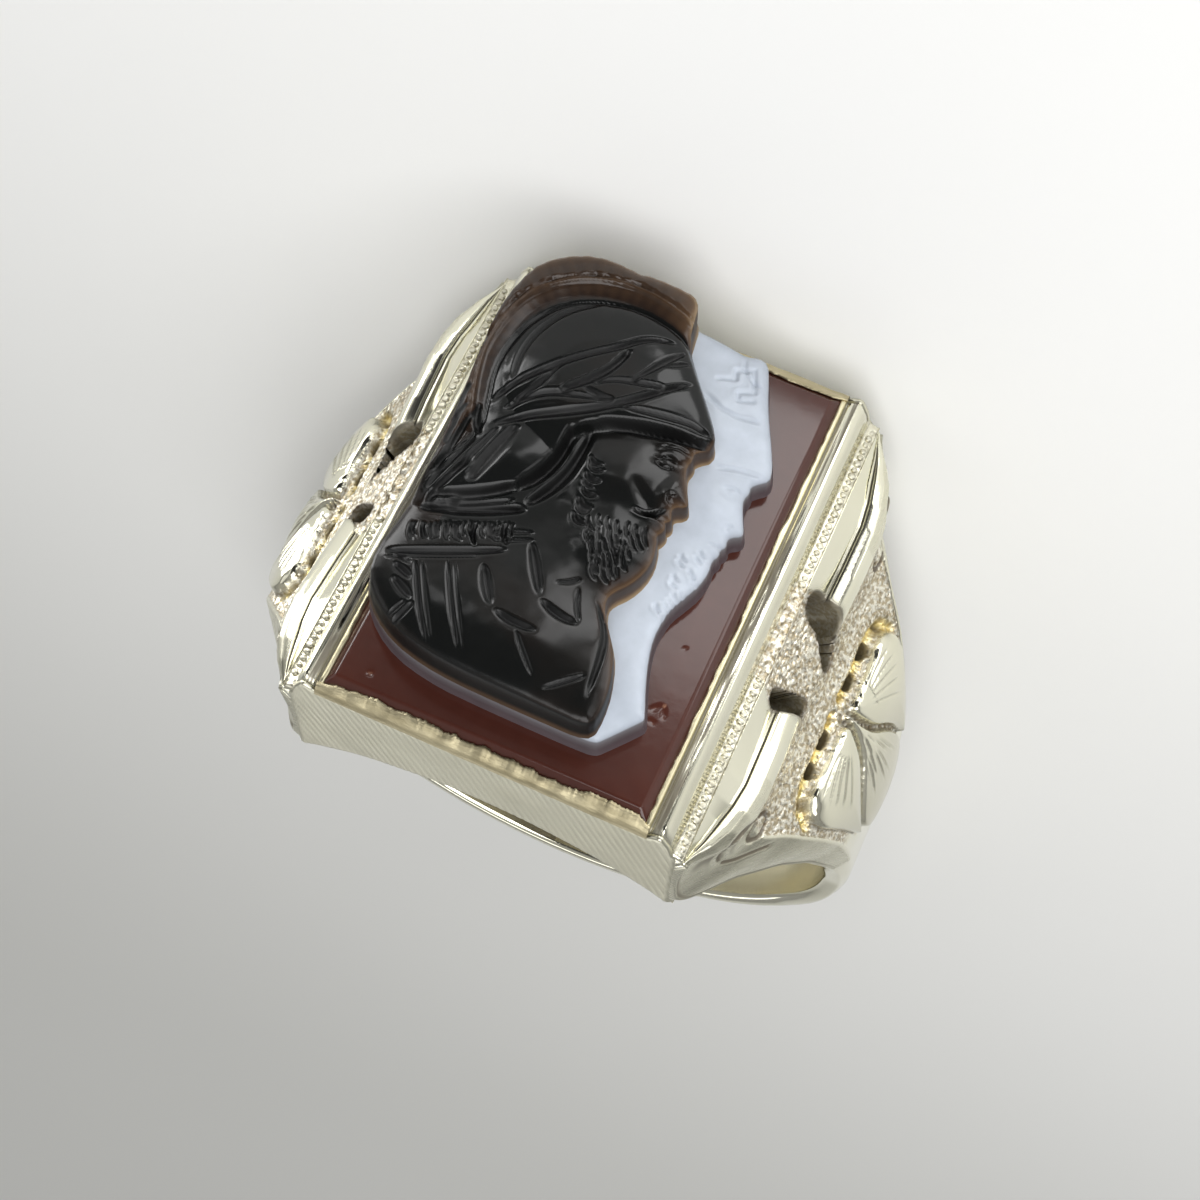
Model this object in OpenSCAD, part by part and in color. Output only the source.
// Cameo ring: a cast ring body with an oblong setting and ornamented shoulders,
// and a two-colour hardstone cameo seated in it.
// The ring lies on its side, on the far edge of its setting and of its shank.
// The shapes are drawn upright, in the ring's own axes, and laid down at the end:
// X across the finger, Y along the finger, Z out of the face, from the bore's middle.

/* [Finger hole and shank] */
// Diameter of the finger hole
finger_d = 19.9; // [16:0.1:23]
// Thickness of the shank at the back of the finger
shank_t = 0.8; // [0.6:0.05:1.5]
// Width of the shank at the back of the finger
shank_w = 4; // [3:0.1:6]
// Radius of the shank's rounded edges
shank_edge = 0.25; // [0.1:0.05:0.3]

/* [Setting] */
// Width of the setting from ridge to ridge
head_w = 11.1; // [10.8:0.1:12.5]
// Length of the setting along the finger
head_l = 15.32; // [15.2:0.02:18]
// Height of the ridges above the finger hole
head_h = 3.5; // [3.3:0.1:5]
// How far the end walls lie below the ridges
end_drop = 0.3; // [0.2:0.05:0.4]
// How far the corner tips stand outside the ridges
tip_out = 0.65; // [0.4:0.05:0.9]
// How far the corner tips lie below the ridges
tip_drop = 1.35; // [1:0.05:1.6]
// Width of the open window under the stone
window_w = 6.4; // [4:0.1:7]
// Length of the open window under the stone
window_l = 9.6; // [6:0.1:11]

/* [Shoulders] */
// Radius of the shoulders' outer curve
shoulder_r = 10.8; // [10.7:0.05:12]
// Height of that curve's centre above the middle of the finger hole
shoulder_lift = 2.4; // [1.8:0.05:2.8]
// Height of the flower above the stippled ground
flower_rise = 0.3; // [0.15:0.05:0.5]
// Width of the grooves between the petals
petal_gap = 0.28; // [0.2:0.02:0.4]
// Bulge of the side faces, as a share of their height
side_belly = 0.15; // [0:0.01:0.25]
// Radius of the rounded bars beside the setting
bar_r = 0.32; // [0.2:0.02:0.4]
// How far the bars bow out from the corner tips
bar_bow = 1.05; // [0.7:0.05:1.1]
// How far the bars fall from the corner tips to the middle of the shoulder
bar_fall = 1.2; // [1:0.05:1.4]
// Diameter of the largest pierced holes, at the ends of the bars
pit_d = 1.05; // [0.7:0.05:1.2]

/* [Cameo] */
// Width of the stone
stone_w = 10.2; // [9.4:0.05:10.4]
// Length of the stone
stone_l = 14.9; // [14:0.05:14.95]
// Thickness of the brown slab
slab_t = 2.1; // [1.8:0.05:2.3]
// Height of the slab's face above the ridges
stone_rise = 0.15; // [0:0.05:0.3]
// Chamfer round the slab's face
slab_chamfer = 0.4; // [0.2:0.05:0.5]
// Thickness of the white layer
white_t = 1.05; // [0.8:0.05:1.4]
// Height of the dark layer from the white layer to the rim of the crest
dark_t = 1.45; // [1.2:0.05:2]
// Depth of the lowest dark ground below the rim of the crest
dark_low = 0.65; // [0.4:0.05:0.9]
// Gap round the seated stone
seat_gap = 0.04; // [0.02:0.01:0.1]

/* [Hidden] */
$fn = 96;
bore_r = finger_d / 2;
shank_r = bore_r + shank_t;
ridge_z = bore_r + head_h;
ridge_x = head_w / 2;
tip_x = ridge_x + tip_out;
tip_z = ridge_z - tip_drop;
head_y = head_l / 2;
slab_top = ridge_z + stone_rise;
slab_bottom = slab_top - slab_t;
white_top = slab_top + white_t;
rim_top = white_top + dark_t;
cut = 1;
inset = 0.05;
step = 3;

// Half sections of the band at angles up from the horizontal, bottom to top:
// angle; foot, half width at the bore as a share from shank to setting;
// crown, half width of the outer face as the same share;
// side, height of the foot's outer edge above the shank's rounded edge, and bank, height
// of the outer face above the stippled ground, both as shares of the tip's height.
SECTIONS = [
    [-90, 0.00, -0.05, 0.00, 0.00],
    [-30, 0.00, -0.05, 0.00, 0.00],
    [  0, 0.05, -0.02, 0.00, 0.00],
    [ 11, 0.11,  0.01, 0.00, 0.00],
    [ 17, 0.16,  0.04, 0.00, 0.00],
    [ 28, 0.30,  0.13, 0.00, 0.00],
    [ 36, 0.46,  0.25, 0.00, 0.00],
    [ 45, 0.71,  0.41, 0.00, 0.00],
    [ 50, 0.90,  0.53, 0.00, 0.00],
    [ 52, 0.97,  0.53, 0.00, 0.02],
    [ 54, 1.00,  0.54, 0.02, 0.09],
    [ 58, 1.00,  0.62, 0.28, 0.21],
    [ 60, 1.00,  0.82, 0.46, 0.27],
    [ 62, 1.00,  0.95, 0.68, 0.27],
    [ 65, 1.00,  0.99, 0.85, 0.31]
];
A = 0;
FOOT = 1;
CROWN = 2;
SIDE = 3;
BANK = 4;

// Outline of one fan petal, seen from outside: angle, and distance from the middle
// as a share of the setting's half length; the last rows run along its groove
FAN = [
    [44.2, 0.03], [44.9, 0.12], [45.3, 0.25], [47.4, 0.33], [47.2, 0.38], [44.8, 0.44],
    [40.5, 0.435], [36.0, 0.39], [31.0, 0.33], [26.0, 0.27], [22.5, 0.235], [25.0, 0.22],
    [28.5, 0.19], [32.0, 0.14], [36.0, 0.07], [40.5, 0.035]
];
// Half outline of the middle petal, in the same columns
TONGUE = [
    [44.0, 0.018], [40.5, 0.035], [36.0, 0.07], [32.0, 0.14], [28.5, 0.19], [25.0, 0.22],
    [20.5, 0.21], [17.0, 0.14], [15.5, 0.018]
];
// Pierced holes of one quarter: angle, the same share along the finger, and diameter
// as a share of the largest hole
PIERCINGS = [
    [59.0, 0.19, 1.00], [55.5, 0.16, 1.00],
    [47.0, 0.14, 0.45], [47.6, 0.26, 0.45]
];

// Path of a bar from its corner tip: distance outside the tip as a share of the bow, place
// along the finger as a share of the setting's half length, and shares of the fall and radius
BAR = [
    [-0.34, 0.98, 0.30, 0.50], [-0.20, 0.92, 0.30, 1.00], [ 0.70, 0.80, 0.42, 1.00],
    [ 1.00, 0.60, 0.60, 1.00], [ 0.90, 0.22, 0.98, 1.00], [ 0.90, 0.18, 1.02, 0.60]
];

// Outline of the dark layer, as shares of half the stone's width and length
DARK = [
    [-0.93, -0.63], [-0.96, -0.48], [-0.94, -0.34], [-0.91, -0.17], [-0.92,  0.05],
    [-0.94,  0.26], [-0.97,  0.45], [-0.97,  0.65], [-0.91,  0.80], [-0.82,  0.87],
    [-0.68,  0.93], [-0.54,  0.95], [-0.43,  0.94], [-0.34,  0.92], [-0.27,  0.94],
    [-0.11,  0.93], [ 0.01,  0.92], [ 0.05,  0.86], [ 0.07,  0.78], [ 0.20,  0.66],
    [ 0.34,  0.55], [ 0.45,  0.43], [ 0.46,  0.37], [ 0.38,  0.35], [ 0.36,  0.32],
    [ 0.47,  0.19], [ 0.38,  0.15], [ 0.41,  0.08], [ 0.39,  0.02], [ 0.43, -0.06],
    [ 0.44, -0.17], [ 0.38, -0.27], [ 0.30, -0.33], [ 0.38, -0.42], [ 0.48, -0.53],
    [ 0.53, -0.66], [ 0.54, -0.75], [ 0.52, -0.83], [ 0.31, -0.83], [-0.26, -0.83],
    [-0.47, -0.81], [-0.65, -0.78], [-0.81, -0.71]
];
// Outline of the white layer, in the same columns
WHITE = [
    [-0.93, -0.63], [-0.96, -0.48], [-0.92,  0.05], [-0.97,  0.65], [-0.91,  0.80],
    [-0.68,  0.93], [ 0.02,  0.94], [ 0.30,  0.93], [ 0.45,  0.94], [ 0.52,  0.93],
    [ 0.57,  0.84], [ 0.62,  0.76], [ 0.65,  0.67], [ 0.67,  0.58], [ 0.79,  0.45],
    [ 0.70,  0.40], [ 0.73,  0.34], [ 0.70,  0.29], [ 0.74,  0.21], [ 0.72,  0.12],
    [ 0.63,  0.08], [ 0.65, -0.10], [ 0.63, -0.27], [ 0.61, -0.36], [ 0.66, -0.53],
    [ 0.73, -0.67], [ 0.56, -0.82], [ 0.31, -0.83], [-0.26, -0.83], [-0.65, -0.79],
    [-0.83, -0.72]
];
// Domes of the dark layer: middle x and y as shares, radius of the dome's plan as a
// share of half the stone's width, and its height as a share of the crest's
DOMES = [
    [-0.28,  0.53, 0.66, 1.15],
    [-0.05,  0.12, 0.56, 1.00],
    [-0.20, -0.60, 0.90, 0.85]
];

// A value of the section table at an angle
function at(angle, column) = lookup(angle, [for (row = SECTIONS) [row[A], row[column]]]);
// A half width between the shank's and the setting's
function half_width(share) = shank_w / 2 + share * (head_y - inset - shank_w / 2);
// The shoulders' outer curve, and the stippled ground below it
function curve_r(angle) =
    shoulder_lift * sin(angle) + sqrt(pow(shoulder_r, 2) - pow(shoulder_lift * cos(angle), 2));
function ground_r(angle) = max(shank_r, curve_r(angle) - flower_rise);
tip_r = norm([tip_x, tip_z]);
function tip_share(share) = share * (tip_r - bore_r);
function crown_r(angle) = ground_r(angle) + tip_share(at(angle, BANK));
function side_r(angle) = bore_r + shank_t - shank_edge + tip_share(at(angle, SIDE));

// One section of the band, as distances from the bore's axis and along the finger
function section(angle) =
    let (
        foot = half_width(at(angle, FOOT)),
        crown = half_width(at(angle, CROWN)),
        low = bore_r - cut,
        side = min(side_r(angle), crown_r(angle) - inset),
        top = crown_r(angle),
        mid = (foot + crown) / 2,
        belly = (side + top) / 2 + side_belly * (top - side)
    )
    [
        [low, -foot], [side, -foot], [belly, -mid], [top, -crown], [top + inset, 0],
        [top, crown], [belly, mid], [side, foot], [low, foot]
    ];
// A point on the band, from its angle, distance from the axis and place along it
function on_band(angle, p) = [p[0] * cos(angle), p[1], p[0] * sin(angle)];

// The whole band from one shoulder round the back of the finger to the other
module band() {
    top_angle = 65;
    turns = [for (a = [top_angle : -step : -90]) a, -90];
    angles = concat(turns, [for (i = [len(turns) - 2 : -1 : 0]) -180 - turns[i]]);
    rows = [for (a = angles) [for (p = section(a < -90 ? -180 - a : a)) on_band(a, p)]];
    loft(rows);
}

// Both sides of the ring alike
module both_sides() {
    children();
    mirror([1, 0, 0]) children();
}

// Both ends of the finger hole alike
module both_ends() {
    children();
    mirror([0, 1, 0]) children();
}

// The oblong block that holds the stone, from the bore up to the ridges
module setting_block() {
    low_z = bore_r * cos(asin(tip_x / bore_r)) - cut;
    rotate([90, 0, 0])
        linear_extrude(head_l, center = true)
            polygon([
                [-tip_x, low_z], [tip_x, low_z], [tip_x, tip_z], [ridge_x, ridge_z],
                [-ridge_x, ridge_z], [-tip_x, tip_z]
            ]);
}

// A closed solid through rows of points, each row round its own section
module loft(rows) {
    n = len(rows[0]);
    last = (len(rows) - 1) * n;
    walls = [
        for (i = [0 : len(rows) - 2]) for (j = [0 : n - 1])
            let (k = (j + 1) % n)
            for (f = [[i * n + j, i * n + k, i * n + n + k], [i * n + j, i * n + n + k, i * n + n + j]]) f
    ];
    ends = [[for (j = [n - 1 : -1 : 0]) j], [for (j = [0 : n - 1]) last + j]];
    polyhedron(points = [for (row = rows) for (p = row) p], faces = concat(walls, ends));
}

// A rounded bar from a corner tip to the middle of the shoulder
module bar() {
    sides = 10;
    loft([
        for (b = BAR) [
            for (i = [0 : sides - 1])
                let (turn = -i * 360 / sides, r = bar_r * b[3])
                [
                    tip_x + b[0] * bar_bow + r * cos(turn), b[1] * head_y,
                    tip_z - b[2] * bar_fall + r * sin(turn)
                ]
        ]
    ]);
}

// A prism that stands out from the bore's axis at an angle on the shoulder
module raised(angle, outline) {
    rotate([0, 90 - angle, 0])
        linear_extrude(shoulder_r + shoulder_lift + cut)
            polygon([for (p = outline) [-curve_r(angle) * sin(p[0] - angle), p[1] * head_y]]);
}

// The flower that points down the shoulder: two fans and a tongue
module flower() {
    mid = 38;
    gap = petal_gap / head_l;
    half = [for (p = TONGUE) [p[0], p[1] - gap / 2]];
    tongue = concat(half, [for (i = [len(half) - 1 : -1 : 0]) [half[i][0], -half[i][1]]]);
    intersection() {
        translate([0, 0, shoulder_lift])
            rotate([90, 0, 0])
                cylinder(h = head_l, r = shoulder_r, center = true, $fn = 180);
        union() {
            both_ends() raised(mid, [for (p = FAN) [p[0], p[1] + gap / 2]]);
            raised(mid, tongue);
        }
    }
}

// A round hole through the shoulder at an angle and a place along the finger
module pierce(angle, y, d) {
    translate([0, y, 0])
        rotate([0, 90 - angle, 0])
            translate([0, 0, bore_r - cut])
                cylinder(h = head_h + 3 * cut, d = d, $fn = 32);
}

// Pocket, window and ledge for the stone, and the lower end walls
module stone_seat() {
    pocket_w = stone_w + 2 * seat_gap;
    pocket_t = ridge_z - slab_bottom + cut;
    translate([0, 0, slab_bottom + pocket_t / 2])
        cube([pocket_w, stone_l + 2 * seat_gap, pocket_t], center = true);
    translate([0, 0, ridge_z - end_drop + cut / 2])
        cube([pocket_w, head_l + cut, cut], center = true);
    translate([0, 0, ridge_z / 2])
        cube([window_w, window_l, ridge_z], center = true);
}

// The ring body: shank, shoulders and setting in one casting
module ring_upright() {
    difference() {
        union() {
            band();
            setting_block();
            both_sides() {
                both_ends() bar();
                flower();
            }
        }
        rotate([90, 0, 0])
            cylinder(h = head_l + 2 * cut, r = bore_r, center = true, $fn = 180);
        stone_seat();
        both_sides() both_ends()
            for (p = PIERCINGS) pierce(p[0], head_y * p[1], pit_d * p[2]);
    }
}

// A flat layer of the stone between two heights, from an outline of shares
module layer(outline, low, high) {
    translate([0, 0, low])
        linear_extrude(high - low)
            polygon([for (p = outline) [p[0] * stone_w / 2, p[1] * stone_l / 2]]);
}

// The brown slab with its chamfered face
module slab() {
    intersection() {
        rotate([90, 0, 0])
            linear_extrude(stone_l, center = true) slab_section(stone_w);
        rotate([90, 0, 90])
            linear_extrude(stone_w, center = true) slab_section(stone_l);
    }
}

module slab_section(width) {
    polygon([
        [-width / 2, slab_bottom + seat_gap], [width / 2, slab_bottom + seat_gap],
        [width / 2, slab_top - slab_chamfer], [width / 2 - slab_chamfer, slab_top],
        [slab_chamfer - width / 2, slab_top], [-width / 2, slab_top - slab_chamfer]
    ]);
}

// The dark helmeted bust, domed, with the raised crest behind it
module dark_bust() {
    low = rim_top - dark_low;
    layer(DARK, white_top - inset, low);
    intersection() {
        layer(DARK, low - inset, rim_top + cut);
        union() {
            for (d = DOMES) dome(d, low);
            crest(low);
        }
    }
}

// A spherical cap over a round plan
module dome(d, low) {
    a = d[2] * stone_w / 2;
    h = dark_low * d[3];
    r = (a * a + h * h) / (2 * h);
    translate([d[0] * stone_w / 2, d[1] * stone_l / 2, low + h - r]) sphere(r = r);
}

// The crest as a raised band between the outline and the helmet
module crest(low) {
    helmet_x = -0.26 * stone_w / 2;
    helmet_y = 0.5 * stone_l / 2;
    translate([0, 0, low - inset])
        linear_extrude(dark_low + inset)
            difference() {
                translate([-stone_w, -0.06 * stone_l]) square([1.1 * stone_w, stone_l]);
                translate([helmet_x, helmet_y]) circle(r = 0.335 * stone_w);
                polygon([
                    [helmet_x, helmet_y], [stone_w, helmet_y + 0.05 * stone_l],
                    [stone_w, -stone_l], [-0.42 * stone_w, -stone_l],
                    [-0.42 * stone_w, 0.02 * stone_l]
                ]);
            }
}

module cameo_upright() {
    slab();
    layer(WHITE, slab_top - inset, white_top);
    dark_bust();
}

// The lying pose: the ring rests on the lower corners of the setting's far end
// and on the far edge of the shank
foot_z = sqrt(pow(bore_r, 2) - pow(tip_x, 2));
lean = atan2(head_y - shank_w / 2, foot_z + shank_r);
rest_h = head_y * cos(lean) - foot_z * sin(lean);
// How far the crest and the shank reach out from the bore's middle, across the floor
crest_y = max([for (p = DARK) p[1]]) * stone_l / 2;
front_reach = rim_top * cos(lean) + crest_y * sin(lean);
back_reach = max([for (p = section(-90)) p[0] * cos(lean) - p[1] * sin(lean)]);
module laid_down() {
    translate([0, (front_reach - back_reach) / 2, rest_h]) rotate([lean - 90, 0, 180]) children();
}

module ring_body() {
    color("gainsboro") laid_down() ring_upright();
}

module cameo() {
    color("saddlebrown") laid_down() cameo_upright();
}

ring_body();
cameo();
